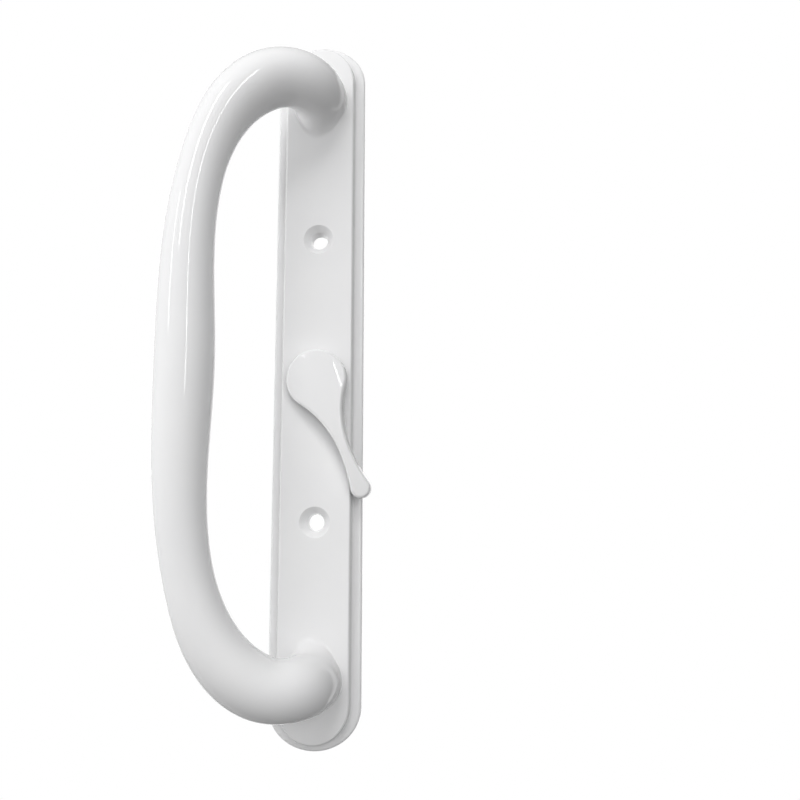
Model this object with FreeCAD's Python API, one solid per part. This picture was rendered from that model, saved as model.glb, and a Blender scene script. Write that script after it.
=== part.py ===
import FreeCAD, Part
import math
import os

V = FreeCAD.Vector

# Sizes are in millimetres. The mounting face lies on y = 0 and the front looks along -Y,
# so a height is a distance above the mounting face, towards -Y. +Z runs up the plate.
# The origin is midway between the two screw holes, on the lever's turning axis.

# Escutcheon plate: a thin flange with a raised panel, both with half-ellipse ends
PLATE_LENGTH = 250.8
PLATE_WIDTH = 31.6
PLATE_END_RISE = 14.4
FLANGE_THICKNESS = 2.4
PANEL_HEIGHT = 6.5
PANEL_SIDE_MARGIN = 3.65
PANEL_END_MARGIN = 2.6
PANEL_END_RISE = 13.2
PANEL_DRAFT = 0.4
RIM_ROUND = 0.9
COVE_ROUND = 0.8
PANEL_ROUND = 0.7

# Hollow back of the casting
PANEL_SKIN = 2.5
POCKET_WALL = 2.4
RIB_THICKNESS = 1.8
RIB_SETBACK = 0.6
SCREW_BOSS_R = 6.5
FOOT_PAD_R = 11.0
FOOT_CORE_R = 5.4
FOOT_CORE_TIP_R = 4.6
FOOT_CORE_DEPTH = 16.0
BEARING_PAD_HALF = 11.0
BEARING_BACK = 3.2

# Countersunk screw holes
SCREW_SPACING = 100.0
SINK_R = 5.3
SINK_HALF_ANGLE_DEG = 45.0
CORED_MOUTH_R = 3.2
SCREW_HOLE_R = 2.8
CORED_TAPER_LENGTH = 1.4

# Pull: a round bar that stands on two feet and leans out to the left of the plate
FOOT_INSET = 23.3
FOOT_R = 9.9
FOOT_ROUND = 1.3
STALK_HEIGHT = 13.5
ELBOW_R = 10.5
ELBOW_HEADING_DEG = 9.0
PULL_LEAN_DEG = 21.5
SHOULDER_OFFSET = 15.4
SHOULDER_DROP = 1.3
SHOULDER_R = 10.05
WAIST_OFFSET = 35.2
WAIST_DROP = 37.3
WAIST_R = 7.95
GRIP_OFFSET = 37.9
GRIP_R = 9.65
GRIP_STEPS = (1, 3, 3)

# Thumb lever, drawn pointing straight down and then turned to its rest angle
LEVER_REST_DEG = 22.5
LEVER_HEAD_R = 10.5
LEVER_HEAD_OFFSET = 1.3
LEVER_WAIST_AT = 28.7
LEVER_WAIST_HALF = 2.0
LEVER_TIP_AT = 41.8
LEVER_TIP_R = 3.5
LEVER_THICKNESS = 6.4
LEVER_DRAFT = 0.25
LEVER_DOME_R = 160.0
LEVER_CROWN_R = 26.0
LEVER_ROUND = 1.2
LEVER_BACK_ROUND = 0.4

# Pivot: journal in a flanged bush, held from behind by washers and an E-ring
JOURNAL_R = 5.5
RUNNING_CLEARANCE = 0.05
FACE_CLEARANCE = 0.05
PRESS_CLEARANCE = 0.01
BUSH_WALL = 1.0
BUSH_FLANGE_R = 8.0
BUSH_FLANGE_THICKNESS = 0.45
WASHER_R = 8.2
WASHER_CLEARANCE = 0.2
WASHER_THICKNESS = 0.5
WAVE_THICKNESS = 0.3
WAVE_RISE = 0.6
WAVE_COUNT = 3
RING_THICKNESS = 0.6
RING_R = 8.0
RING_BAND = 1.5
RING_PRONG_WIDTH = 3.0
GROOVE_DEPTH = 0.7
JOURNAL_TAIL = 0.7

# Tailpiece that turns the lock, pinned into a slot in the journal
BLADE_WIDTH = 6.35
BLADE_THICKNESS = 1.6
BLADE_REACH = 38.0
BLADE_POINT = 3.0
BLADE_SEAT = 5.8
SLOT_CLEARANCE = 0.08
PIN_R = 1.0
PIN_CLEARANCE = 0.02
PIN_HEIGHT = 4.6
PIN_SHORT = 0.2

# Values that follow from the sizes above
PLATE_HALF_WIDTH = PLATE_WIDTH / 2
PLATE_HALF_LENGTH = PLATE_LENGTH / 2
FOOT_Z = PLATE_HALF_LENGTH - FOOT_INSET
PANEL_HALF_WIDTH = PLATE_HALF_WIDTH - PANEL_SIDE_MARGIN
PANEL_HALF_LENGTH = PLATE_HALF_LENGTH - PANEL_END_MARGIN
POCKET_DEPTH = PANEL_HEIGHT - PANEL_SKIN
BORE_R = JOURNAL_R + RUNNING_CLEARANCE + BUSH_WALL
LEVER_BACK = PANEL_HEIGHT + BUSH_FLANGE_THICKNESS + FACE_CLEARANCE
LEVER_FRONT = LEVER_BACK + LEVER_THICKNESS
WAVE_TOP = BEARING_BACK - FACE_CLEARANCE
WASHER_TOP = WAVE_TOP - WAVE_RISE - WAVE_THICKNESS - FACE_CLEARANCE
RING_TOP = WASHER_TOP - WASHER_THICKNESS - FACE_CLEARANCE
RING_BACK = RING_TOP - RING_THICKNESS
GROOVE_R = JOURNAL_R - GROOVE_DEPTH
JOURNAL_END = RING_BACK - FACE_CLEARANCE - JOURNAL_TAIL
OVERCUT = 1.0


def at(x, height, z):
    """Point given by its place on the plate and its height above the mounting face."""
    return V(x, -height, z)


def outline(half_width, half_length, end_rise, height):
    """Closed outline with straight sides and half-ellipse ends."""
    straight = half_length - end_rise
    corners = [(1, 1), (-1, 1), (-1, -1), (1, -1)]
    edges = []
    for side, end in corners:
        flank = at(side * half_width, height, end * straight)
        corner = at(side * half_width, height, end * half_length)
        apex = at(0, height, end * half_length)
        starts_on_flank = side * end > 0
        quarter = Part.BezierCurve()
        quarter.setPoles([flank, corner, apex] if starts_on_flank else [apex, corner, flank])
        quarter.setWeight(2, math.sqrt(0.5))
        edges.append(quarter.toShape())
        if not starts_on_flank:
            next_flank = at(side * half_width, height, -end * straight)
            edges.append(Part.makeLine(flank, next_flank))
    return Part.Wire(edges)


def prism(wire, depth):
    """Solid drawn back from a flat outline, towards the mounting face."""
    return Part.Face(wire).extrude(V(0, depth, 0))


def turned(profile):
    """Solid of revolution about the lever's axis, from (radius, height) corners."""
    points = [at(radius, height, 0) for radius, height in profile]
    face = Part.Face(Part.makePolygon(points + points[:1]))
    return face.revolve(V(0, 0, 0), V(0, 1, 0), 360)


def at_height(edge, height):
    box = edge.BoundBox
    return abs(box.YMin + height) < 1e-4 and abs(box.YMax + height) < 1e-4


def plate_front():
    """Flange and raised panel, with a rounded rim, a coved step and a rounded panel edge."""
    flange = prism(outline(PLATE_HALF_WIDTH, PLATE_HALF_LENGTH, PLATE_END_RISE,
                           FLANGE_THICKNESS), FLANGE_THICKNESS)
    panel_foot = outline(PANEL_HALF_WIDTH + PANEL_DRAFT, PANEL_HALF_LENGTH + PANEL_DRAFT,
                         PANEL_END_RISE + PANEL_DRAFT, FLANGE_THICKNESS)
    panel_top = outline(PANEL_HALF_WIDTH, PANEL_HALF_LENGTH, PANEL_END_RISE, PANEL_HEIGHT)
    body = flange.fuse(Part.makeLoft([panel_foot, panel_top], True, True))
    step = PANEL_SIDE_MARGIN / 4
    rim = [e for e in body.Edges
           if at_height(e, FLANGE_THICKNESS) and e.distToShape(panel_foot)[0] > step]
    body = body.makeFillet(RIM_ROUND, rim)
    cove = [e for e in body.Edges
            if at_height(e, FLANGE_THICKNESS) and e.distToShape(panel_foot)[0] < 1e-4]
    body = body.makeFillet(COVE_ROUND, cove)
    crest = [e for e in body.Edges if at_height(e, PANEL_HEIGHT)]
    return body.makeFillet(PANEL_ROUND, crest)


def back_pocket():
    """Hollow behind the panel, less the bosses, pads and ribs that stand in it."""
    pocket = prism(outline(PANEL_HALF_WIDTH - POCKET_WALL, PANEL_HALF_LENGTH - POCKET_WALL,
                           PANEL_END_RISE - POCKET_WALL, POCKET_DEPTH), POCKET_DEPTH + OVERCUT)
    deep = POCKET_DEPTH + 2 * OVERCUT
    keep = []
    for end in (1, -1):
        screw_z = end * SCREW_SPACING / 2
        foot_z = end * FOOT_Z
        keep.append(Part.makeCylinder(SCREW_BOSS_R, deep, V(0, -deep, screw_z), V(0, 1, 0)))
        keep.append(Part.makeCylinder(FOOT_PAD_R, deep, V(0, -deep, foot_z), V(0, 1, 0)))
        keep.append(Part.makeBox(PLATE_WIDTH, deep, RIB_THICKNESS,
                                 V(-PLATE_HALF_WIDTH, -deep - RIB_SETBACK,
                                   screw_z - RIB_THICKNESS / 2)))
    keep.append(Part.makeBox(RIB_THICKNESS, deep, 2 * FOOT_Z,
                             V(-RIB_THICKNESS / 2, -deep - RIB_SETBACK, -FOOT_Z)))
    hollow = pocket.cut(keep)
    bearing_room = Part.makeBox(PLATE_WIDTH, BEARING_BACK + OVERCUT, 2 * BEARING_PAD_HALF,
                                V(-PLATE_HALF_WIDTH, -BEARING_BACK, -BEARING_PAD_HALF))
    bearing_pad = Part.makeBox(PLATE_WIDTH, deep, 2 * BEARING_PAD_HALF,
                               V(-PLATE_HALF_WIDTH, -deep, -BEARING_PAD_HALF))
    return hollow.cut(bearing_pad).fuse(pocket.common(bearing_room))


def screw_hole(z):
    """Countersunk cast hole: a short cored taper runs into the straight clearance hole."""
    sink_slope = math.tan(math.radians(SINK_HALF_ANGLE_DEG))
    sink_floor = PANEL_HEIGHT - (SINK_R - CORED_MOUTH_R) / sink_slope
    taper_floor = sink_floor - CORED_TAPER_LENGTH
    mouth_r = SINK_R + OVERCUT * sink_slope
    tool = turned([(0, PANEL_HEIGHT + OVERCUT), (mouth_r, PANEL_HEIGHT + OVERCUT),
                   (CORED_MOUTH_R, sink_floor), (SCREW_HOLE_R, taper_floor),
                   (SCREW_HOLE_R, -OVERCUT), (0, -OVERCUT)])
    tool.translate(V(0, 0, z))
    return tool


def elbow_frame():
    """Start of the elbow, the way it leads across the plate, and the angle it turns by."""
    heading = math.radians(ELBOW_HEADING_DEG)
    across = V(-math.cos(heading), 0, math.sin(heading))
    return at(0, STALK_HEIGHT, FOOT_Z), across, 90 - PULL_LEAN_DEG


def stalk():
    """Round foot that stands on the panel, rooted in it."""
    root = PANEL_HEIGHT - PANEL_SKIN
    return Part.makeCylinder(FOOT_R, STALK_HEIGHT - root, at(0, root, FOOT_Z), V(0, -1, 0))


def elbow():
    """Bend from the stalk towards the grip, out to the left and over the plate's end."""
    start, across, turn = elbow_frame()
    ring = Part.Face(Part.Wire(Part.makeCircle(FOOT_R, start, V(0, -1, 0))))
    return ring.revolve(start + across * ELBOW_R, across.cross(V(0, 1, 0)), turn)


def grip_path():
    """Centre line of the upper half of the grip, from the elbow to the middle."""
    start, across, turn = elbow_frame()
    angle = math.radians(turn)
    outward = V(0, -1, 0)
    elbow_end = (start + across * (ELBOW_R * (1 - math.cos(angle)))
                 + outward * (ELBOW_R * math.sin(angle)))

    def on_lean(offset, z):
        rise = (offset + elbow_end.x) * math.tan(math.radians(PULL_LEAN_DEG))
        return at(-offset, rise - elbow_end.y, z)

    points = [elbow_end, on_lean(SHOULDER_OFFSET, FOOT_Z - SHOULDER_DROP),
              on_lean(WAIST_OFFSET, FOOT_Z - WAIST_DROP), on_lean(GRIP_OFFSET, 0)]
    knots = [0]
    for first, second in zip(points, points[1:]):
        knots.append(knots[-1] + first.distanceToPoint(second))
    path = Part.BSplineCurve()
    path.interpolate(Points=points, Parameters=knots, Scale=False,
                     InitialTangent=across * math.sin(angle) + outward * math.cos(angle),
                     FinalTangent=V(0, 0, -1))
    return path, knots


def blend(share):
    """Smooth step from 0 to 1."""
    return share * share * (3 - 2 * share)


def grip_sections():
    """Centre, direction and radius of the bar, over the shoulder and waist to mid-grip."""
    path, knots = grip_path()
    radii = [FOOT_R, SHOULDER_R, WAIST_R, GRIP_R]
    sections = [(path.value(0), path.tangent(0)[0], FOOT_R)]
    for stretch, steps in enumerate(GRIP_STEPS):
        for step in range(1, steps + 1):
            share = step / steps
            place = knots[stretch] + share * (knots[stretch + 1] - knots[stretch])
            radius = radii[stretch] + blend(share) * (radii[stretch + 1] - radii[stretch])
            sections.append((path.value(place), path.tangent(place)[0], radius))
    return sections


def below(section):
    """The same section on the lower half of the grip, met in the opposite order."""
    centre, tangent, radius = section
    return V(centre.x, centre.y, -centre.z), V(-tangent.x, -tangent.y, tangent.z), radius


def grip():
    """Loft through round sections, with each one's first point carried along the bar."""
    upper = grip_sections()
    lower = [below(section) for section in reversed(upper[:-1])]
    front = V(0, -1, 0)
    rings = []
    for centre, tangent, radius in upper + lower:
        front = (front - tangent * front.dot(tangent)).normalize()
        ring = Part.Wire(Part.makeCircle(radius))
        turn = FreeCAD.Rotation(front, tangent.cross(front), tangent, "ZXY")
        ring.Placement = FreeCAD.Placement(centre, turn)
        rings.append(ring)
    return Part.makeLoft(rings, True, False)


def both_ends(shape):
    """The piece and its mirror image on the lower half."""
    return [shape, shape.mirror(V(0, 0, 0), V(0, 0, 1))]


def is_flat(face):
    return isinstance(face.Surface, Part.Plane)


def pull():
    """Feet, elbows and grip, closed into one solid from their round sides and the roots."""
    roots = both_ends(stalk())
    skin = []
    for piece in roots + both_ends(elbow()) + [grip()]:
        skin += [face for face in piece.Faces if not is_flat(face)]
    for root in roots:
        skin.append(max(filter(is_flat, root.Faces), key=lambda face: face.CenterOfMass.y))
    shell = Part.makeShell(skin)
    shell.sewShape()
    return Part.makeSolid(shell)


def is_foot_ring(edge):
    return at_height(edge, PANEL_HEIGHT) and abs(edge.Length - 2 * math.pi * FOOT_R) < 1e-3


def handle_casting():
    """Plate and pull, cast in one piece."""
    body = plate_front().cut(back_pocket()).fuse(pull())
    body = body.makeFillet(FOOT_ROUND, [e for e in body.Edges if is_foot_ring(e)])
    tools = [turned([(0, PANEL_HEIGHT + OVERCUT), (BORE_R, PANEL_HEIGHT + OVERCUT),
                     (BORE_R, -OVERCUT), (0, -OVERCUT)])]
    for end in (1, -1):
        tools.append(screw_hole(end * SCREW_SPACING / 2))
        tools.append(Part.makeCone(FOOT_CORE_R, FOOT_CORE_TIP_R, FOOT_CORE_DEPTH,
                                   V(0, 0, end * FOOT_Z), V(0, -1, 0)))
    return body.cut(tools)


def tangent_arc_r(distance, circle_r, waist_half):
    """Radius of the hollow arc that meets a circle and runs level at the waist."""
    return ((distance ** 2 + waist_half ** 2 - circle_r ** 2)
            / (2 * (circle_r - waist_half)))


def lever_outline(inset, height):
    """Teardrop outline: round head, hollow flanks to a narrow waist, rounded tip."""
    waist_z = -LEVER_WAIST_AT
    waist_x = LEVER_WAIST_HALF - inset
    arcs = {}
    for name, centre_z, full_r in (("head", -LEVER_HEAD_OFFSET, LEVER_HEAD_R),
                                   ("tip", -LEVER_TIP_AT, LEVER_TIP_R)):
        distance = abs(waist_z - centre_z)
        hollow_r = tangent_arc_r(distance, full_r, LEVER_WAIST_HALF)
        hollow_x = LEVER_WAIST_HALF + hollow_r
        slope = math.atan2(hollow_x, waist_z - centre_z)
        circle_r = full_r - inset
        touch = (circle_r * math.sin(slope), centre_z + circle_r * math.cos(slope))
        half_turn = (math.atan2(touch[1] - waist_z, touch[0] - hollow_x) % (2 * math.pi)
                     + math.pi) / 2
        middle = (hollow_x + (hollow_r + inset) * math.cos(half_turn),
                  waist_z + (hollow_r + inset) * math.sin(half_turn))
        crown_z = centre_z + math.copysign(circle_r, centre_z - waist_z)
        arcs[name] = (touch, middle, crown_z)

    def arc(*points):
        return Part.Arc(*[at(x, height, z) for x, z in points]).toShape()

    head_touch, head_middle, head_crown = arcs["head"]
    tip_touch, tip_middle, tip_crown = arcs["tip"]
    edges = [arc((-head_touch[0], head_touch[1]), (0, head_crown), head_touch)]
    edges.append(arc(head_touch, head_middle, (waist_x, waist_z)))
    edges.append(arc((waist_x, waist_z), tip_middle, tip_touch))
    edges.append(arc(tip_touch, (0, tip_crown), (-tip_touch[0], tip_touch[1])))
    edges.append(arc((-tip_touch[0], tip_touch[1]), (-tip_middle[0], tip_middle[1]),
                     (-waist_x, waist_z)))
    edges.append(arc((-waist_x, waist_z), (-head_middle[0], head_middle[1]),
                     (-head_touch[0], head_touch[1])))
    return Part.Wire(edges)


def at_rest(shape):
    """Turn a piece of the lever from straight down to its rest angle."""
    shape.rotate(V(0, 0, 0), V(0, -1, 0), LEVER_REST_DEG)
    return shape


def blade_slot():
    """Slot across the journal's end that takes the tailpiece."""
    wide = BLADE_WIDTH + 2 * SLOT_CLEARANCE
    thick = BLADE_THICKNESS + 2 * SLOT_CLEARANCE
    top = BLADE_SEAT + SLOT_CLEARANCE
    return Part.makeBox(thick, top - JOURNAL_END + OVERCUT, wide, V(-thick / 2, -top, -wide / 2))


def pin_along_x(radius, half_length):
    return Part.makeCylinder(radius, 2 * half_length, at(-half_length, PIN_HEIGHT, 0), V(1, 0, 0))


def thumb_lever():
    """Teardrop paddle, crowned across and domed along, cast in one with its journal."""
    paddle = Part.makeLoft([lever_outline(0, LEVER_BACK),
                            lever_outline(LEVER_DRAFT, LEVER_FRONT)], True, True)
    dome_centre = at(0, LEVER_FRONT - LEVER_DOME_R, -LEVER_WAIST_AT / 2)
    paddle = paddle.common(Part.makeTorus(LEVER_DOME_R - LEVER_CROWN_R, LEVER_CROWN_R,
                                          dome_centre, V(1, 0, 0)))
    middle_height = (LEVER_BACK + LEVER_FRONT) / 2
    front = [e for e in paddle.Edges if e.BoundBox.YMax < -middle_height]
    paddle = paddle.makeFillet(LEVER_ROUND, front)
    back = [e for e in paddle.Edges if at_height(e, LEVER_BACK)]
    paddle = paddle.makeFillet(LEVER_BACK_ROUND, back)
    groove_front = RING_TOP + FACE_CLEARANCE
    groove_back = RING_BACK - FACE_CLEARANCE
    journal = turned([(0, LEVER_BACK + OVERCUT), (JOURNAL_R, LEVER_BACK + OVERCUT),
                      (JOURNAL_R, groove_front), (GROOVE_R, groove_front),
                      (GROOVE_R, groove_back), (JOURNAL_R, groove_back),
                      (JOURNAL_R, JOURNAL_END), (0, JOURNAL_END)])
    hole = pin_along_x(PIN_R + PIN_CLEARANCE, JOURNAL_R + OVERCUT)
    return at_rest(paddle.fuse(journal).cut([blade_slot(), hole]))


def pivot_bush():
    """Flanged sleeve pressed into the casting, which the lever's journal turns in."""
    inner = JOURNAL_R + RUNNING_CLEARANCE
    outer = BORE_R - PRESS_CLEARANCE
    flange_top = PANEL_HEIGHT + BUSH_FLANGE_THICKNESS
    return turned([(inner, BEARING_BACK), (outer, BEARING_BACK), (outer, PANEL_HEIGHT),
                   (BUSH_FLANGE_R, PANEL_HEIGHT), (BUSH_FLANGE_R, flange_top),
                   (inner, flange_top)])


def wave_washer():
    """Spring washer with waves around it, which gives the lever its drag."""
    steps = 8 * WAVE_COUNT
    rims = []
    for radius in (JOURNAL_R + WASHER_CLEARANCE, WASHER_R):
        points = []
        for step in range(steps):
            angle = 2 * math.pi * step / steps
            height = WAVE_TOP - WAVE_RISE * (1 - math.cos(WAVE_COUNT * angle)) / 2
            points.append(at(radius * math.cos(angle), height, radius * math.sin(angle)))
        rim = Part.BSplineCurve()
        rim.interpolate(Points=points, PeriodicFlag=True)
        rims.append(rim.toShape())
    return Part.makeRuledSurface(*rims).extrude(V(0, WAVE_THICKNESS, 0))


def thrust_washer():
    """Flat washer between the spring washer and the ring."""
    inner = JOURNAL_R + WASHER_CLEARANCE
    low = WASHER_TOP - WASHER_THICKNESS
    return turned([(inner, low), (WASHER_R, low), (WASHER_R, WASHER_TOP), (inner, WASHER_TOP)])


def retaining_ring():
    """E-ring: an open band with three prongs that reach into the journal's groove."""
    def disc(radius):
        return Part.makeCylinder(radius, RING_THICKNESS, at(0, RING_TOP, 0), V(0, 1, 0))

    seat_r = GROOVE_R + RUNNING_CLEARANCE
    prong = Part.makeBox(RING_R, RING_THICKNESS, RING_PRONG_WIDTH,
                         at(0, RING_TOP, -RING_PRONG_WIDTH / 2)).common(disc(RING_R - RING_BAND / 2))
    prongs = []
    for angle in (0, 90, 180):
        copy = prong.copy()
        copy.rotate(V(0, 0, 0), V(0, 1, 0), angle)
        prongs.append(copy)
    band = disc(RING_R).cut(disc(RING_R - RING_BAND))
    mouth = Part.makeBox(2 * seat_r, RING_THICKNESS, RING_R + OVERCUT,
                         at(-seat_r, RING_TOP, RING_PRONG_WIDTH / 2))
    return at_rest(band.cut(mouth).fuse(prongs).cut(disc(seat_r)).removeSplitter())


def tailpiece():
    """Flat steel blade with a tapered end, pinned into the journal."""
    half = BLADE_WIDTH / 2
    end = -BLADE_REACH
    corners = [(-half, BLADE_SEAT), (half, BLADE_SEAT), (half, end + BLADE_POINT),
               (half / 2, end), (-half / 2, end), (-half, end + BLADE_POINT)]
    points = [at(-BLADE_THICKNESS / 2, height, z) for z, height in corners]
    blade = Part.Face(Part.makePolygon(points + points[:1])).extrude(V(BLADE_THICKNESS, 0, 0))
    hole = pin_along_x(PIN_R + PIN_CLEARANCE, BLADE_THICKNESS)
    return at_rest(blade.cut(hole))


def tailpiece_pin():
    """Cross pin through journal and blade, kept in by the bush around it."""
    return at_rest(pin_along_x(PIN_R, JOURNAL_R - PIN_SHORT))


PIECES = (handle_casting, thumb_lever, pivot_bush, wave_washer, thrust_washer, retaining_ring,
          tailpiece, tailpiece_pin)

os.makedirs("parts", exist_ok=True)
for piece in PIECES:
    piece().exportStep(os.path.join("parts", piece.__name__ + ".step"))
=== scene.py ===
import math

import bmesh
import bpy
import numpy as np
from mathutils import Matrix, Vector
from mathutils.geometry import delaunay_2d_cdt


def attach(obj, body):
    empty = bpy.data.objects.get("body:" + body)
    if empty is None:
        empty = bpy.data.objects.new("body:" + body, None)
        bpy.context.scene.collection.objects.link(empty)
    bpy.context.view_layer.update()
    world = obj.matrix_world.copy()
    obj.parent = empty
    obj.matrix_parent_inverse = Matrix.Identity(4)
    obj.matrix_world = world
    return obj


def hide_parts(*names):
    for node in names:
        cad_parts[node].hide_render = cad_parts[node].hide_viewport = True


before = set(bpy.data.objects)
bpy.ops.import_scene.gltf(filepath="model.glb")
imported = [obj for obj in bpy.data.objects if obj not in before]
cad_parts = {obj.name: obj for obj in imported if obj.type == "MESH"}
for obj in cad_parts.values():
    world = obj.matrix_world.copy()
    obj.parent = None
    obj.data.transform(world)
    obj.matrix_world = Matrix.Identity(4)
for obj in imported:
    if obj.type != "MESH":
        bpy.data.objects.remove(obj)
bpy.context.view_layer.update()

bl_info = {
    "name": "Patio door handle",
    "version": (1, 0, 0),
    "blender": (4, 5, 0),
    "location": "3D View > Sidebar > Handle",
    "description": "Painted casting with pull, thumb lever and pivot hardware of a sliding door",
    "category": "Object",
}

MM = 0.001


def length(name, description, mm):
    """Size property with its default in millimetres."""
    return bpy.props.FloatProperty(name=name, description=description, default=mm * MM, min=0.0,
                                   precision=5, unit="LENGTH")


def angle(name, description, degrees):
    """Angle property with its default in degrees."""
    return bpy.props.FloatProperty(name=name, description=description,
                                   default=math.radians(degrees), subtype="ANGLE")


def linear(code):
    """Linear colour of an sRGB hex value."""
    parts = [int(code[i:i + 2], 16) / 255 for i in (1, 3, 5)]
    return tuple(c / 12.92 if c <= 0.04045 else ((c + 0.055) / 1.055) ** 2.4 for c in parts)


def colour(name, description, code):
    """Colour property with its default as an sRGB hex value."""
    return bpy.props.FloatVectorProperty(name=name, description=description, subtype="COLOR",
                                         default=linear(code), min=0.0, max=1.0)


class PlateSizes(bpy.types.PropertyGroup):
    length: length("Length", "Escutcheon plate from end to end", 250.8)
    width: length("Width", "Escutcheon plate from side to side", 31.6)
    end_rise: length("End rise", "Height of the plate's half-ellipse ends", 14.4)
    flange: length("Flange thickness", "Thin rim around the raised panel", 2.4)
    panel: length("Panel height", "Front of the raised panel above the mounting face", 6.5)
    side_margin: length("Side margin", "Flange that shows beside the panel", 3.65)
    end_margin: length("End margin", "Flange that shows beyond the panel's ends", 2.6)
    panel_end_rise: length("Panel end rise", "Height of the panel's half-ellipse ends", 13.2)
    draft: length("Panel draft", "How far the panel's wall leans in over its height", 0.4)
    rim_round: length("Rim round", "Rounding of the flange's outer edge", 0.9)
    cove_round: length("Cove round", "Hollow rounding at the panel's foot", 0.8)
    crest_round: length("Crest round", "Rounding of the panel's front edge", 0.7)
    back_break: length("Back edge break", "Small rounding where the rim meets the door", 0.2)
    screw_spacing: length("Screw spacing", "Distance between the two screw holes", 100.0)
    sink_r: length("Countersink radius", "Countersink at the panel's face", 5.3)
    sink_break: length("Countersink break", "Paint-softened edge of the countersink", 0.2)
    mouth_r: length("Hole mouth radius", "Cored hole at the countersink's floor", 3.2)
    hole_r: length("Screw hole radius", "Straight part of the screw hole", 2.8)
    mouth_taper: length("Mouth taper", "Length of the cored hole's taper", 1.4)
    bore_r: length("Bore radius", "Hole for the pivot bush", 6.55)


class BackSizes(bpy.types.PropertyGroup):
    skin: length("Skin", "Casting thickness behind the panel", 2.5)
    wall: length("Wall", "Casting thickness beside the hollow", 2.4)
    rib: length("Rib thickness", "Ribs across and along the hollow", 1.8)
    rib_setback: length("Rib setback", "Ribs end this far short of the door", 0.6)
    boss_r: length("Screw boss radius", "Boss around each screw hole", 6.5)
    pad_r: length("Foot pad radius", "Solid pad behind each foot of the pull", 11.0)
    core_r: length("Core radius", "Cored hole behind each foot, at its mouth", 5.4)
    core_tip_r: length("Core tip radius", "Cored hole behind each foot, at its end", 4.6)
    core_depth: length("Core depth", "Depth of the cored holes", 16.0)
    bearing_half: length("Bearing pad half length", "Flat room behind the lever's pivot", 11.0)
    bearing_back: length("Bearing pad height", "Floor of that room above the mounting face", 3.2)


class PullSizes(bpy.types.PropertyGroup):
    foot_inset: length("Foot inset", "Foot's middle from the plate's end", 23.3)
    foot_r: length("Foot radius", "Round foot that stands on the panel", 9.9)
    blend: length("Foot blend", "Hollow blend between foot and panel", 0.5)
    tail: length("Tail length", "Tail of the foot towards the plate's middle", 4.5)
    tail_rise: length("Tail rise", "Height at which the tail runs out into the bar", 10.0)
    stalk: length("Stalk height", "Where the elbow starts, above the mounting face", 13.5)
    elbow_r: length("Elbow radius", "Bend of the centre line", 10.5)
    easing: length("Easing", "Stretch over which the bends run into each other", 4.5)
    still: length("Still stretch", "Straight stretch that the feet keep", 7.0)
    heading: angle("Elbow heading", "Turn of the elbow towards the plate's end", 9.0)
    lean: angle("Pull lean", "Slope of the pull away from the door", 21.5)
    shoulder_offset: length("Shoulder offset", "Shoulder to the left of the plate's middle", 15.4)
    shoulder_drop: length("Shoulder drop", "Shoulder below the foot's middle", 1.3)
    shoulder_r: length("Shoulder radius", "Bar at the shoulder", 10.05)
    waist_offset: length("Waist offset", "Waist to the left of the plate's middle", 35.2)
    waist_drop: length("Waist drop", "Waist below the foot's middle", 37.3)
    waist_r: length("Waist radius", "Bar at the waist", 7.95)
    grip_offset: length("Grip offset", "Middle of the grip to the left", 37.9)
    grip_r: length("Grip radius", "Bar at the middle of the grip", 9.65)
    sides: bpy.props.IntProperty(name="Sides", description="Faces around the bar", default=96, min=12)


class FinishColours(bpy.types.PropertyGroup):
    paint: colour("Paint", "Gloss white powder coat", "#EDEDED")
    paint_thick: colour("Thick paint", "The coat where it has pooled a little", "#E8E8E9")
    steel: colour("Plated steel", "Zinc plating on the washers, ring, blade and pin", "#BFC0BD")
    steel_dark: colour("Plating stain", "Darker clouds in the zinc plating", "#A3A5A5")
    acetal: colour("Acetal", "Natural moulded bush", "#E4E2DA")
    backdrop: colour("Backdrop", "Pale studio floor and wall", "#FFFFFF")


class HandleSettings(bpy.types.PropertyGroup):
    plate: bpy.props.PointerProperty(type=PlateSizes, name="Plate", description="Escutcheon plate")
    back: bpy.props.PointerProperty(type=BackSizes, name="Back", description="Hollow back")
    pull: bpy.props.PointerProperty(type=PullSizes, name="Pull", description="Pull and its feet")
    finish: bpy.props.PointerProperty(type=FinishColours, name="Finish", description="Colours")


def place(x, height, z):
    """Point given by its place on the plate and its height above the mounting face."""
    return Vector((x, -height, z))


def oval(half_width, half_length, end_rise, height):
    """Closed loop with straight sides and half-ellipse ends, always with the same count."""
    end_steps = 72
    side_steps = 36
    straight = half_length - end_rise
    loop = []
    for end in (1, -1):
        for step in range(end_steps):
            turn = math.pi * step / end_steps
            loop.append(place(end * half_width * math.cos(turn), height,
                              end * (straight + end_rise * math.sin(turn))))
        for step in range(side_steps):
            loop.append(place(-end * half_width, height,
                              end * straight * (1 - 2 * step / side_steps)))
    return loop


def ring(radius, height, z, count=64):
    """Circle about a line along Y."""
    return [place(radius * math.cos(2 * math.pi * i / count), height,
                  z + radius * math.sin(2 * math.pi * i / count)) for i in range(count)]


def skin(mesh, loops):
    """Quads between loops that follow each other and have the same count."""
    rows = [[mesh.verts.new(point) for point in loop] for loop in loops]
    for lower, upper in zip(rows, rows[1:]):
        for i in range(len(lower)):
            j = (i + 1) % len(lower)
            mesh.faces.new((lower[i], lower[j], upper[j], upper[i]))
    return rows


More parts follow.
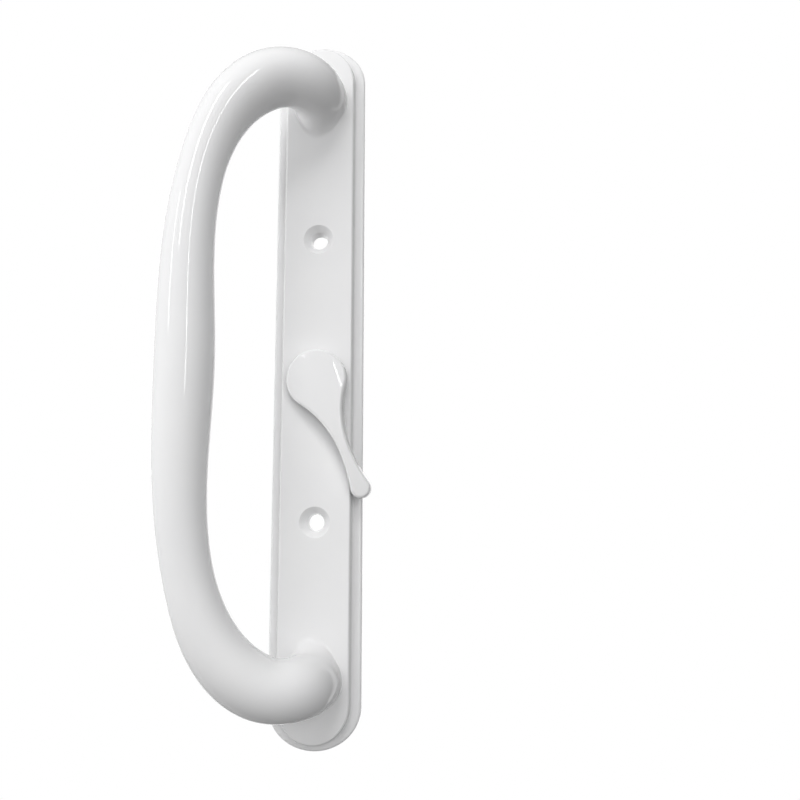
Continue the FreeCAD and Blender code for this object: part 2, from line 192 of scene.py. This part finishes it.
def relief(mesh, outlines, level):
    """Flat levels inside closed outlines, with upright walls where two levels meet.

    level gets the names of the outlines around a spot and gives its height, or None for a hole."""
    points = []
    loops = []
    for _, outline in outlines:
        flat = [Vector((point.x, point.z)) for point in outline]
        if sum(a.cross(b) for a, b in zip(flat, flat[1:] + flat[:1])) < 0:
            flat.reverse()
        loops.append(list(range(len(points), len(points) + len(flat))))
        points += flat
    fill_hull, same_spot = 0, 1e-7
    spots, _, triangles, _, _, owners = delaunay_2d_cdt(points, [], loops, fill_hull, same_spot)
    corners = {}

    def corner(spot, height):
        heights = corners.setdefault(spot, {})
        if height not in heights:
            heights[height] = mesh.verts.new(place(spots[spot].x, height, spots[spot].y))
        return heights[height]

    borders = {}
    for triangle, owner in zip(triangles, owners):
        height = level({outlines[index][0] for index in owner})
        if height is None:
            continue
        mesh.faces.new([corner(spot, height) for spot in triangle])
        for first, second in zip(triangle, triangle[1:] + triangle[:1]):
            borders.setdefault((min(first, second), max(first, second)), []).append(height)
    for (first, second), heights in borders.items():
        low, high = min(heights), max(heights)
        if low < high:
            up, down = ([corners[spot][h] for h in sorted(corners[spot]) if low <= h <= high]
                        for spot in (first, second))
            mesh.faces.new(up + down[::-1])


# Faces across a broken edge, a paint-softened edge and a rounding
BREAK_STEPS = 4
SOFT_STEPS = 6
ROUND_STEPS = 8
# Narrow face beside a rounding, which keeps the flat next to it evenly shaded
HOLD = 0.1 * MM


def arc(centre, radius, first, last, steps):
    """Points of an arc in a section, from (across, height) centre and angles in degrees."""
    turns = [math.radians(first + (last - first) * step / steps) for step in range(steps + 1)]
    return [(centre[0] + radius * math.cos(t), centre[1] + radius * math.sin(t)) for t in turns]


def plate_loops(plate):
    """Front of the plate as loops: back edge, rim, flange, cove, panel wall and crest."""
    half_width, half_length = plate.width / 2, plate.length / 2

    def flange_loop(across, height):
        return oval(half_width + across, half_length + across, plate.end_rise + across, height)

    def panel_loop(across, height):
        return oval(half_width - plate.side_margin + across,
                    half_length - plate.end_margin + across,
                    plate.panel_end_rise + across, height)

    rim = arc((-plate.back_break, plate.back_break), plate.back_break, -90, 0, BREAK_STEPS)
    rim += arc((-plate.rim_round, plate.flange - plate.rim_round), plate.rim_round, 0, 90,
               ROUND_STEPS)
    rim.append((-plate.rim_round - HOLD, plate.flange))
    wall_height = plate.panel - plate.flange
    slope = math.atan2(plate.draft, wall_height)

    def wall(height):
        return plate.draft * (plate.panel - height) / wall_height

    cove_height = plate.flange + plate.cove_round
    cove_across = wall(cove_height) + plate.cove_round / math.cos(slope)
    crest_height = plate.panel - plate.crest_round
    crest_across = wall(crest_height) - plate.crest_round / math.cos(slope)
    tilt = math.degrees(slope)
    step = [(cove_across + HOLD, plate.flange)]
    step += arc((cove_across, cove_height), plate.cove_round, 270, 180 + tilt, ROUND_STEPS)
    step += arc((crest_across, crest_height), plate.crest_round, tilt, 90, ROUND_STEPS)
    step.append((crest_across - HOLD, plate.panel))
    return [flange_loop(*spot) for spot in rim] + [panel_loop(*spot) for spot in step]


def screw_hole_loops(plate, z):
    """Countersunk hole from the panel's face to the mounting face."""
    soft = plate.sink_break
    # Share of its radius by which a rounding reaches past the corner of a flat and a 45 degree cone
    corner = math.sqrt(2) - 1
    centre = (plate.sink_r + soft * corner, plate.panel - soft)
    floor = plate.panel - (plate.sink_r - plate.mouth_r)
    section = [(centre[0] + HOLD, plate.panel)]
    section += arc(centre, soft, 90, 135, SOFT_STEPS)
    section += arc((plate.mouth_r + soft * corner / 2, floor - soft / 2), soft / 2,
                   135, 180, BREAK_STEPS)
    section += [(plate.hole_r, floor - plate.mouth_taper), (plate.hole_r, 0)]
    return [ring(radius, height, z) for radius, height in section]


def clamped_spline(points, first_way, last_way, share):
    """Places along a cubic through points with unit end ways, at shares 0 to 1 of each stretch."""
    points = np.array(points)
    spans = np.linalg.norm(np.diff(points, axis=0), axis=1)
    count = len(points)
    rows = np.zeros((count, count))
    ways = np.zeros((count, 3))
    rows[0, 0] = rows[-1, -1] = 1
    ways[0], ways[-1] = first_way, last_way
    for i in range(1, count - 1):
        before, after = spans[i - 1], spans[i]
        rows[i, i - 1:i + 2] = after, 2 * (before + after), before
        ways[i] = 3 * (after / before * (points[i] - points[i - 1])
                       + before / after * (points[i + 1] - points[i]))
    ways = np.linalg.solve(rows, ways)
    places = []
    t = share[:, None]
    for i, span in enumerate(spans):
        places.append((2 * t**3 - 3 * t**2 + 1) * points[i] + (3 * t**2 - 2 * t**3) * points[i + 1]
                      + span * ((t**3 - 2 * t**2 + t) * ways[i] + (t**3 - t**2) * ways[i + 1]))
    return places


def eased(line, reach, still):
    """The line with its bends softened over a reach, and left as it is near its two ends."""
    line = np.array(line)
    run = np.append(0, np.cumsum(np.linalg.norm(np.diff(line, axis=0), axis=1)))
    parts = 20
    step = reach / parts
    even = np.linspace(0, run[-1], int(run[-1] / step))
    # Three reaches away a point no longer counts
    pad = 3 * parts
    weights = np.exp(-0.5 * (np.arange(-pad, pad + 1) * step / reach)**2)
    soft = []
    for axis in line.T:
        row = np.interp(even, run, axis)
        row = np.concatenate((2 * row[0] - row[pad:0:-1], row, 2 * row[-1] - row[-2:-pad - 2:-1]))
        soft.append(np.interp(run, even, np.convolve(row, weights / weights.sum(), "valid")))
    share = np.clip(np.minimum(run, run[-1] - run) / still, 0, 1)[:, None]
    return line + (np.array(soft).T - line) * share**2 * (3 - 2 * share)


def pull_path(plate, pull):
    """Centre line and radius of the pull, from its upper foot over mid-grip to the lower one."""
    foot_z = plate.length / 2 - pull.foot_inset
    turn = math.pi / 2 - pull.lean
    across = Vector((-math.cos(pull.heading), 0, math.sin(pull.heading)))
    out = Vector((0, -1, 0))
    start = place(0, pull.stalk, foot_z)
    path = []
    # Steps up the stalk crowd together at the panel, where the foot spreads
    stalk_steps, crowding = 48, 1.6
    for step in range(stalk_steps):
        share = step / stalk_steps
        height = plate.panel + (pull.stalk - plate.panel) * share**crowding
        path.append((place(0, height, foot_z), pull.foot_r))

    def on_elbow(bend):
        return (start + across * (pull.elbow_r * (1 - math.cos(bend)))
                + out * (pull.elbow_r * math.sin(bend)))

    elbow_steps = 36
    for step in range(elbow_steps):
        path.append((on_elbow(turn * step / elbow_steps), pull.foot_r))
    elbow_end = on_elbow(turn)

    def on_lean(offset, z):
        rise = (offset + elbow_end.x) * math.tan(pull.lean)
        return place(-offset, rise - elbow_end.y, z)

    points = [elbow_end, on_lean(pull.shoulder_offset, foot_z - pull.shoulder_drop),
              on_lean(pull.waist_offset, foot_z - pull.waist_drop), on_lean(pull.grip_offset, 0)]
    radii = [pull.foot_r, pull.shoulder_r, pull.waist_r, pull.grip_r]
    stretch_steps = 40
    share = np.arange(stretch_steps) / stretch_steps
    ease = share**2 * (3 - 2 * share)
    stretches = clamped_spline(points, across * math.sin(turn) + out * math.cos(turn),
                               Vector((0, 0, -1)), share)
    for stretch, thin, thick in zip(stretches, radii, radii[1:]):
        path += [(Vector(spot), thin + (thick - thin) * e) for spot, e in zip(stretch, ease)]
    middle = [(points[-1], pull.grip_r)]
    lower = [(Vector((spot.x, spot.y, -spot.z)), radius) for spot, radius in reversed(path)]
    whole = path + middle + lower
    line = eased([spot for spot, _ in whole], pull.easing, pull.still)
    return [(Vector(spot), radius) for spot, (_, radius) in zip(line, whole)]


def add(tree, kind, inputs=None, **settings):
    """Adds a node, sets its own settings, and links or sets its inputs."""
    node = tree.nodes.new(kind)
    for name, value in settings.items():
        setattr(node, name, value)
    for name, value in (inputs or {}).items():
        if isinstance(value, bpy.types.NodeSocket):
            tree.links.new(value, node.inputs[name])
        else:
            node.inputs[name].default_value = value
    return node


# How sharply the tail of a foot narrows, and how far it leans to the side of the grip
TAIL_POINT = 6.0
TAIL_LEAN = -0.05


def pull_tree():
    """Sweeps a round bar along the path, and gives its two feet a blend and a short tail."""
    tree = bpy.data.node_groups.new("painted pull", "GeometryNodeTree")
    for name, kind in (("Path", "Geometry"), ("Sides", "Int"), ("Panel height", "Float"),
                       ("Foot z", "Float"), ("Blend", "Float"), ("Tail", "Float"),
                       ("Tail rise", "Float"), ("Paint", "Material")):
        tree.interface.new_socket(name=name, in_out="INPUT", socket_type="NodeSocket" + kind)
    tree.interface.new_socket(name="Bar", in_out="OUTPUT", socket_type="NodeSocketGeometry")
    given = add(tree, "NodeGroupInput").outputs

    def maths(operation, first, second=0.0):
        return add(tree, "ShaderNodeMath", {0: first, 1: second}, operation=operation).outputs[0]

    radius = add(tree, "GeometryNodeInputNamedAttribute", {"Name": "bar_radius"},
                 data_type="FLOAT").outputs[0]
    line = add(tree, "GeometryNodeMeshToCurve", {"Mesh": given["Path"]}).outputs[0]
    circle = add(tree, "GeometryNodeCurvePrimitiveCircle",
                 {"Resolution": given["Sides"], "Radius": 1.0}).outputs[0]
    bar = add(tree, "GeometryNodeCurveToMesh",
              {"Curve": line, "Profile Curve": circle, "Scale": radius}).outputs[0]

    spot = add(tree, "ShaderNodeSeparateXYZ",
               {0: add(tree, "GeometryNodeInputPosition").outputs[0]}).outputs
    above = maths("SUBTRACT", maths("MULTIPLY", spot["Y"], -1.0), given["Panel height"])
    end = maths("SIGN", spot["Z"])
    along = maths("SUBTRACT", spot["Z"], maths("MULTIPLY", end, given["Foot z"]))
    away = add(tree, "ShaderNodeCombineXYZ", {"X": spot["X"], "Z": along}).outputs[0]
    away = add(tree, "ShaderNodeVectorMath", {0: away}, operation="NORMALIZE").outputs[0]
    inner = add(tree, "ShaderNodeCombineXYZ",
                {"X": TAIL_LEAN, "Z": maths("MULTIPLY", end, -1.0)}).outputs[0]
    facing = add(tree, "ShaderNodeVectorMath", {0: away, 1: inner},
                 operation="DOT_PRODUCT").outputs["Value"]
    pointing = maths("POWER", maths("MAXIMUM", facing, 0.0), TAIL_POINT)

    def hollow(reach, rise):
        """How far a hollow stands out, from its reach at the panel to nothing at its rise."""
        left = maths("MAXIMUM", maths("SUBTRACT", 1.0, maths("DIVIDE", above, rise)), 0.0)
        dip = maths("MAXIMUM", maths("SUBTRACT", 1.0, maths("MULTIPLY", left, left)), 0.0)
        return maths("MULTIPLY", reach, maths("SUBTRACT", 1.0, maths("SQRT", dip)))

    tail = hollow(maths("MULTIPLY", given["Tail"], pointing), given["Tail rise"])
    flare = add(tree, "ShaderNodeVectorMath",
                {0: away, "Scale": maths("ADD", hollow(given["Blend"], given["Blend"]), tail)},
                operation="SCALE").outputs[0]
    bar = add(tree, "GeometryNodeSetPosition", {"Geometry": bar, "Offset": flare}).outputs[0]
    bar = add(tree, "GeometryNodeSetShadeSmooth", {"Geometry": bar}).outputs[0]
    bar = add(tree, "GeometryNodeRealizeInstances", {"Geometry": bar}).outputs[0]
    bar = add(tree, "GeometryNodeSetMaterial",
              {"Geometry": bar, "Material": given["Paint"]}).outputs[0]
    add(tree, "NodeGroupOutput", {"Bar": bar})
    return tree


def pull_mesh(plate, pull, paint):
    """Swept pull as a plain mesh, open at its two feet."""
    path = pull_path(plate, pull)
    line = bpy.data.meshes.new("pull path")
    line.from_pydata([spot for spot, _ in path], [(i, i + 1) for i in range(len(path) - 1)], [])
    line.attributes.new("bar_radius", "FLOAT", "POINT").data.foreach_set(
        "value", [radius for _, radius in path])
    maker = bpy.data.objects.new("pull path", line)
    bpy.context.scene.collection.objects.link(maker)
    sweep = maker.modifiers.new("Sweep", "NODES")
    sweep.node_group = pull_tree()
    values = {"Sides": pull.sides, "Panel height": plate.panel,
              "Foot z": plate.length / 2 - pull.foot_inset, "Blend": pull.blend,
              "Tail": pull.tail, "Tail rise": pull.tail_rise, "Paint": paint}
    for item in sweep.node_group.interface.items_tree:
        if item.in_out == "INPUT" and item.name in values:
            sweep[item.identifier] = values[item.name]
    ready = maker.evaluated_get(bpy.context.evaluated_depsgraph_get())
    bar = bpy.data.meshes.new_from_object(ready)
    maker.modifiers.remove(sweep)
    bpy.data.objects.remove(maker)
    return bar


def foot_rings(bar):
    """The two open ends of the pull, each as a loop of points in order."""
    open_edges = [edge for edge in bar.edges if edge.is_boundary]
    rings = []
    while open_edges:
        edge = open_edges[0]
        vertex = edge.verts[0]
        loop = []
        while True:
            loop.append(vertex.co.copy())
            open_edges.remove(edge)
            vertex = edge.other_vert(vertex)
            following = [other for other in vertex.link_edges if other in open_edges]
            if not following:
                break
            edge = following[0]
        rings.append(loop)
    return rings


def box_loop(x0, x1, z0, z1):
    """Rectangle on the mounting face."""
    return [place(x0, 0, z0), place(x1, 0, z0), place(x1, 0, z1), place(x0, 0, z1)]


def back_outlines(plate, back, pull, edge):
    """Named outlines of the casting's back: land, hollow, bosses, pads, ribs and holes."""
    foot_z = plate.length / 2 - pull.foot_inset
    half_width = plate.width / 2 - plate.side_margin - back.wall
    half_length = plate.length / 2 - plate.end_margin - back.wall
    hollow = oval(half_width, half_length, plate.panel_end_rise - back.wall, 0)
    screw_z = plate.screw_spacing / 2
    # Ribs and the bearing room run on a little into what they meet
    lap = 1.0 * MM
    rib = back.rib / 2
    side = half_width + lap / 2
    near = plate.hole_r + lap
    pad_sides = 96
    outlines = [("land", edge), ("hollow", hollow), ("hole", ring(plate.bore_r, 0, 0)),
                ("bearing", box_loop(-side, side, -back.bearing_half, back.bearing_half))]
    for end in (1, -1):
        outlines += [("boss", ring(back.boss_r, 0, end * screw_z)),
                     ("hole", ring(plate.hole_r, 0, end * screw_z)),
                     ("boss", ring(back.pad_r, 0, end * foot_z, pad_sides)),
                     ("hole", ring(back.core_r, 0, end * foot_z)),
                     ("rib", box_loop(-rib, rib, end * (back.bearing_half - lap),
                                      end * (screw_z - near))),
                     ("rib", box_loop(-rib, rib, end * (screw_z + near),
                                      end * (foot_z - back.core_r - lap))),
                     ("rib", box_loop(near, side, end * screw_z - rib, end * screw_z + rib)),
                     ("rib", box_loop(-side, -near, end * screw_z - rib, end * screw_z + rib))]
    return outlines


# Points nearer than this are one point, and edges that bend by more than this stay crisp
WELD = 0.002 * MM
CRISP_DEGREES = 32


def shaded(mesh, name, material):
    """Object of a finished mesh: closed, smooth, and crisp at its sharp edges."""
    data = bpy.data.meshes.new(name)
    bmesh.ops.remove_doubles(mesh, verts=mesh.verts, dist=WELD)
    bmesh.ops.recalc_face_normals(mesh, faces=mesh.faces)
    loose = [edge for edge in mesh.edges if not edge.is_manifold]
    if loose:
        raise RuntimeError(f"{name} is open along {len(loose)} edges, near {loose[0].verts[0].co}")
    mesh.to_mesh(data)
    mesh.free()
    data.shade_smooth()
    data.set_sharp_from_angle(angle=math.radians(CRISP_DEGREES))
    data.materials.append(material)
    piece = bpy.data.objects.new(name, data)
    bpy.context.scene.collection.objects.link(piece)
    return piece


def casting(settings, paint):
    """Plate and pull in one closed skin, as they are cast."""
    plate, back, pull = settings.plate, settings.back, settings.pull
    mesh = bmesh.new()
    bar = pull_mesh(plate, pull, paint)
    mesh.from_mesh(bar)
    bpy.data.meshes.remove(bar)
    feet = foot_rings(mesh)
    loops = plate_loops(plate)
    skin(mesh, loops)
    front = [("panel", loops[-1])] + [("hole", foot) for foot in feet]
    for end in (1, -1):
        hole = screw_hole_loops(plate, end * plate.screw_spacing / 2)
        skin(mesh, hole)
        front.append(("hole", hole[0]))
    bore = [ring(plate.bore_r, height, 0) for height in (plate.panel, back.bearing_back)]
    skin(mesh, bore)
    front.append(("hole", bore[0]))
    relief(mesh, front, lambda around: None if "hole" in around else plate.panel)

    depth = plate.panel - back.skin

    def back_level(around):
        if "hole" in around:
            return None
        if "hollow" not in around:
            return 0.0
        if "bearing" in around:
            return back.bearing_back
        if "boss" in around:
            return 0.0
        return back.rib_setback if "rib" in around else depth

    relief(mesh, back_outlines(plate, back, pull, loops[0]), back_level)
    for end in (1, -1):
        foot_z = end * (plate.length / 2 - pull.foot_inset)
        rows = skin(mesh, [ring(back.core_r, 0, foot_z),
                           ring(back.core_tip_r, back.core_depth, foot_z)])
        mesh.faces.new(rows[-1])
    return shaded(mesh, "painted_casting", paint)


def new_material(name):
    """Empty material with its shader, and the tree to add to."""
    material = bpy.data.materials.new(name)
    material.use_nodes = True
    tree = material.node_tree
    shader = tree.nodes["Principled BSDF"]
    return material, tree, shader


def cells(mm):
    """Noise scale for spots of this size, on coordinates in metres."""
    return 1.0 / (mm * MM)


PAINT = "white powder coat, sprayed and baked"


def gloss_powder_coat(finish):
    """White polyester powder coat, sprayed and baked on the zinc casting.

    The eye gets a clear mirror-like skin over an even white, a slight orange peel that makes
    long highlights waver, and a faint drift in tone where the coat lies thicker."""
    material, tree, shader = new_material(PAINT)
    spot = add(tree, "ShaderNodeTexCoord").outputs["Object"]
    drift = add(tree, "ShaderNodeTexNoise", {"Vector": spot, "Scale": cells(24), "Detail": 3.0})
    tone = add(tree, "ShaderNodeMix",
               {"Factor": drift.outputs[0], "A": (*finish.paint, 1), "B": (*finish.paint_thick, 1)},
               data_type="RGBA").outputs["Result"]
    peel = add(tree, "ShaderNodeTexNoise", {"Vector": spot, "Scale": cells(2.4), "Detail": 2.0})
    bump = add(tree, "ShaderNodeBump", {"Height": peel.outputs[0], "Strength": 0.25,
                                        "Distance": 0.02 * MM}).outputs[0]
    haze = add(tree, "ShaderNodeTexNoise", {"Vector": spot, "Scale": cells(9), "Detail": 4.0})
    rough = add(tree, "ShaderNodeMapRange",
                {"Value": haze.outputs[0], "To Min": 0.03, "To Max": 0.06}).outputs[0]
    tree.links.new(tone, shader.inputs["Base Color"])
    tree.links.new(rough, shader.inputs["Roughness"])
    tree.links.new(bump, shader.inputs["Normal"])
    shader.inputs["IOR"].default_value = 1.5
    return material


def zinc_plated_steel(finish):
    """Cold-rolled steel, blanked and zinc plated.

    The eye gets a dull silvery metal with cloudy patches, and fine rolling lines along it. The
    lines are drawn 0.25 mm apart, coarser than real ones, so that they show."""
    material, tree, shader = new_material("zinc plated steel, rolled and blanked")
    spot = add(tree, "ShaderNodeTexCoord").outputs["Object"]
    clouds = add(tree, "ShaderNodeTexNoise", {"Vector": spot, "Scale": cells(3), "Detail": 5.0})
    tone = add(tree, "ShaderNodeMix",
               {"Factor": clouds.outputs[0], "A": (*finish.steel, 1), "B": (*finish.steel_dark, 1)},
               data_type="RGBA").outputs["Result"]
    lines = add(tree, "ShaderNodeMapping", {"Vector": spot, "Scale": (1.0, 0.04, 1.0)}).outputs[0]
    rolled = add(tree, "ShaderNodeTexNoise", {"Vector": lines, "Scale": cells(0.25), "Detail": 3.0})
    rough = add(tree, "ShaderNodeMapRange",
                {"Value": rolled.outputs[0], "To Min": 0.30, "To Max": 0.48}).outputs[0]
    bump = add(tree, "ShaderNodeBump", {"Height": rolled.outputs[0], "Strength": 0.3,
                                        "Distance": 0.01 * MM}).outputs[0]
    tree.links.new(tone, shader.inputs["Base Color"])
    tree.links.new(rough, shader.inputs["Roughness"])
    tree.links.new(bump, shader.inputs["Normal"])
    shader.inputs["Metallic"].default_value = 1.0
    return material


def moulded_acetal(finish):
    """Natural acetal, injection moulded.

    The eye gets a milky off-white with a waxy sheen and a fine spark-eroded grain. The grain is
    drawn 0.3 mm wide, coarser than the real one, so that it shows."""
    material, tree, shader = new_material("natural acetal, injection moulded")
    spot = add(tree, "ShaderNodeTexCoord").outputs["Object"]
    grain = add(tree, "ShaderNodeTexNoise", {"Vector": spot, "Scale": cells(0.3), "Detail": 2.0})
    bump = add(tree, "ShaderNodeBump", {"Height": grain.outputs[0], "Strength": 0.2,
                                        "Distance": 0.01 * MM}).outputs[0]
    rough = add(tree, "ShaderNodeMapRange",
                {"Value": grain.outputs[0], "To Min": 0.38, "To Max": 0.5}).outputs[0]
    tree.links.new(rough, shader.inputs["Roughness"])
    tree.links.new(bump, shader.inputs["Normal"])
    shader.inputs["Base Color"].default_value = (*finish.acetal, 1)
    shader.inputs["IOR"].default_value = 1.48
    shader.inputs["Subsurface Weight"].default_value = 0.15
    shader.inputs["Subsurface Radius"].default_value = (0.6 * MM, 0.6 * MM, 0.5 * MM)
    return material


def matte_backdrop(finish):
    """White seamless background paper, matte."""
    material, _, shader = new_material("white background paper, matte")
    shader.inputs["Base Color"].default_value = (*finish.backdrop, 1)
    shader.inputs["Roughness"].default_value = 0.95
    shader.inputs["Specular IOR Level"].default_value = 0.0
    return material


def shared_paint(finish):
    """The powder coat, made once for the casting and the lever."""
    return bpy.data.materials.get(PAINT) or gloss_powder_coat(finish)


class HANDLE_OT_casting(bpy.types.Operator):
    """Build the painted plate and pull in one skin"""
    bl_idname = "patio_handle.casting"
    bl_label = "Casting"

    def execute(self, context):
        settings = context.scene.patio_handle
        piece = casting(settings, shared_paint(settings.finish))
        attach(piece, "handle")
        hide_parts("handle_casting")
        return {"FINISHED"}


class HANDLE_OT_lever(bpy.types.Operator):
    """Paint the thumb lever"""
    bl_idname = "patio_handle.lever"
    bl_label = "Thumb lever"

    def execute(self, context):
        finish = context.scene.patio_handle.finish
        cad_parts["thumb_lever"].material_slots[0].material = shared_paint(finish)
        return {"FINISHED"}


class HANDLE_OT_hardware(bpy.types.Operator):
    """Finish the bush, washers, ring, blade and pin of the pivot"""
    bl_idname = "patio_handle.hardware"
    bl_label = "Pivot hardware"

    def execute(self, context):
        finish = context.scene.patio_handle.finish
        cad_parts["pivot_bush"].material_slots[0].material = moulded_acetal(finish)
        steel = zinc_plated_steel(finish)
        for node in ("wave_washer", "thrust_washer", "retaining_ring", "tailpiece", "tailpiece_pin"):
            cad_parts[node].material_slots[0].material = steel
        return {"FINISHED"}


# Size and depth of the floor, in metres
FLOOR_RADIUS = 0.85
FLOOR_DROP = 0.45


def pale_floor(material):
    """Round floor well below the handle."""
    data = bpy.data.meshes.new("floor")
    mesh = bmesh.new()
    bmesh.ops.create_circle(mesh, cap_ends=True, segments=96, radius=FLOOR_RADIUS)
    mesh.to_mesh(data)
    mesh.free()
    data.materials.append(material)
    floor = bpy.data.objects.new("floor", data)
    floor.location.z = -FLOOR_DROP
    floor.visible_diffuse = False
    floor.visible_glossy = False
    bpy.context.scene.collection.objects.link(floor)


LIGHT_DISTANCE = 2.0
# Name, azimuth, elevation, width, height, brightness, whether it lights, whether it is mirrored.
# Azimuth 0 is in front of the handle and minus is to the left. Distance and sizes are in metres.
SOFTBOXES = (
    ("overhead softbox left", -45, 45, 1.2, 1.07, 4.3, True, False),
    ("overhead softbox", 0, 45, 0.7, 0.6, 7.0, True, False),
    ("top softbox", 0, 75, 1.5, 1.0, 0.9, True, False),
    ("front softbox left", -30, 5, 1.07, 1.87, 1.35, True, False),
    ("front softbox right", 29, 5, 1.07, 1.87, 2.75, True, False),
    ("side softbox left", -100, 0, 1.6, 1.6, 2.55, True, False),
    ("low softbox left", -100, -35, 2.5, 1.07, 2.6, True, False),
    ("back softbox", 180, 10, 1.2, 1.2, 3.2, True, False),
    ("tall strip left", -22, 36, 0.16, 0.9, 8.5, False, True),
    ("far strip left", -50, 22, 0.08, 0.6, 10.0, False, True),
    ("strip right", 21, 20, 0.08, 1.0, 11.0, False, True),
    ("lit backdrop", 180, 5, 3.6, 3.2, 0.9, False, True),
)


def softbox(name, azimuth, elevation, width, height, brightness, lights, mirrored):
    """Rectangular soft light that faces the handle."""
    lamp = bpy.data.lights.new(name, "AREA")
    lamp.shape = "RECTANGLE"
    lamp.size = width
    lamp.size_y = height
    lamp.energy = math.pi * width * height * brightness
    light = bpy.data.objects.new(name, lamp)
    turn, rise = math.radians(azimuth), math.radians(elevation)
    way = Vector((math.sin(turn) * math.cos(rise), -math.cos(turn) * math.cos(rise),
                  math.sin(rise)))
    light.location = LIGHT_DISTANCE * way
    light.rotation_euler = way.to_track_quat("Z", "Y").to_euler()
    light.visible_camera = False
    light.visible_diffuse = lights
    light.visible_glossy = mirrored
    bpy.context.scene.collection.objects.link(light)


def studio_air(strength, mirrored):
    """World that lights the handle a little, shows paler in reflections and white behind it."""
    world = bpy.data.worlds.new("studio air")
    world.use_nodes = True
    tree = world.node_tree
    ray = add(tree, "ShaderNodeLightPath").outputs
    bright = add(tree, "ShaderNodeMapRange",
                 {"Value": ray["Is Glossy Ray"], "To Min": strength, "To Max": mirrored}).outputs[0]
    bright = add(tree, "ShaderNodeMapRange",
                 {"Value": ray["Is Camera Ray"], "To Min": bright, "To Max": 1.0}).outputs[0]
    background = tree.nodes["Background"]
    background.inputs["Color"].default_value = (1, 1, 1, 1)
    tree.links.new(bright, background.inputs["Strength"])
    return world


# Camera: sensor and lens in millimetres, place in metres, upward tilt and turn in radians
SENSOR_WIDTH = 36.0
FOCAL_LENGTH = 40.858
CAMERA_PLACE = (0.050136, -0.31503, -0.05535)
CAMERA_TILT = 0.1511
CAMERA_TURN = 0.0680


class HANDLE_OT_stage(bpy.types.Operator):
    """Set up the pale floor, the soft studio light and the camera"""
    bl_idname = "patio_handle.stage"
    bl_label = "Stage"

    def execute(self, context):
        scene = context.scene
        pale_floor(matte_backdrop(scene.patio_handle.finish))
        for box in SOFTBOXES:
            softbox(*box)
        scene.world = studio_air(strength=0.11, mirrored=0.35)
        scene.view_settings.view_transform = "Standard"
        lens = bpy.data.cameras.new("camera")
        lens.sensor_width = SENSOR_WIDTH
        lens.lens = FOCAL_LENGTH
        camera = bpy.data.objects.new("camera", lens)
        camera.location = CAMERA_PLACE
        camera.rotation_euler = (math.pi / 2 + CAMERA_TILT, 0.0, CAMERA_TURN)
        scene.collection.objects.link(camera)
        scene.camera = camera
        return {"FINISHED"}


class HANDLE_PT_panel(bpy.types.Panel):
    """Sizes, colours and pieces of the handle"""
    bl_idname = "HANDLE_PT_panel"
    bl_label = "Patio door handle"
    bl_space_type = "VIEW_3D"
    bl_region_type = "UI"
    bl_category = "Handle"

    def draw(self, context):
        settings = context.scene.patio_handle
        for operator in OPERATORS:
            self.layout.operator(operator.bl_idname)
        for group in (settings.plate, settings.back, settings.pull, settings.finish):
            box = self.layout.box()
            for name in group.__annotations__:
                box.prop(group, name)


OPERATORS = (HANDLE_OT_casting, HANDLE_OT_lever, HANDLE_OT_hardware, HANDLE_OT_stage)
CLASSES = (PlateSizes, BackSizes, PullSizes, FinishColours, HandleSettings) + OPERATORS + (
    HANDLE_PT_panel,)


def register():
    for cls in CLASSES:
        bpy.utils.register_class(cls)
    bpy.types.Scene.patio_handle = bpy.props.PointerProperty(type=HandleSettings)


def unregister():
    del bpy.types.Scene.patio_handle
    for cls in reversed(CLASSES):
        bpy.utils.unregister_class(cls)


def main():
    register()
    bpy.ops.patio_handle.casting()
    bpy.ops.patio_handle.lever()
    bpy.ops.patio_handle.hardware()
    bpy.ops.patio_handle.stage()


if __name__ == "__main__":
    main()
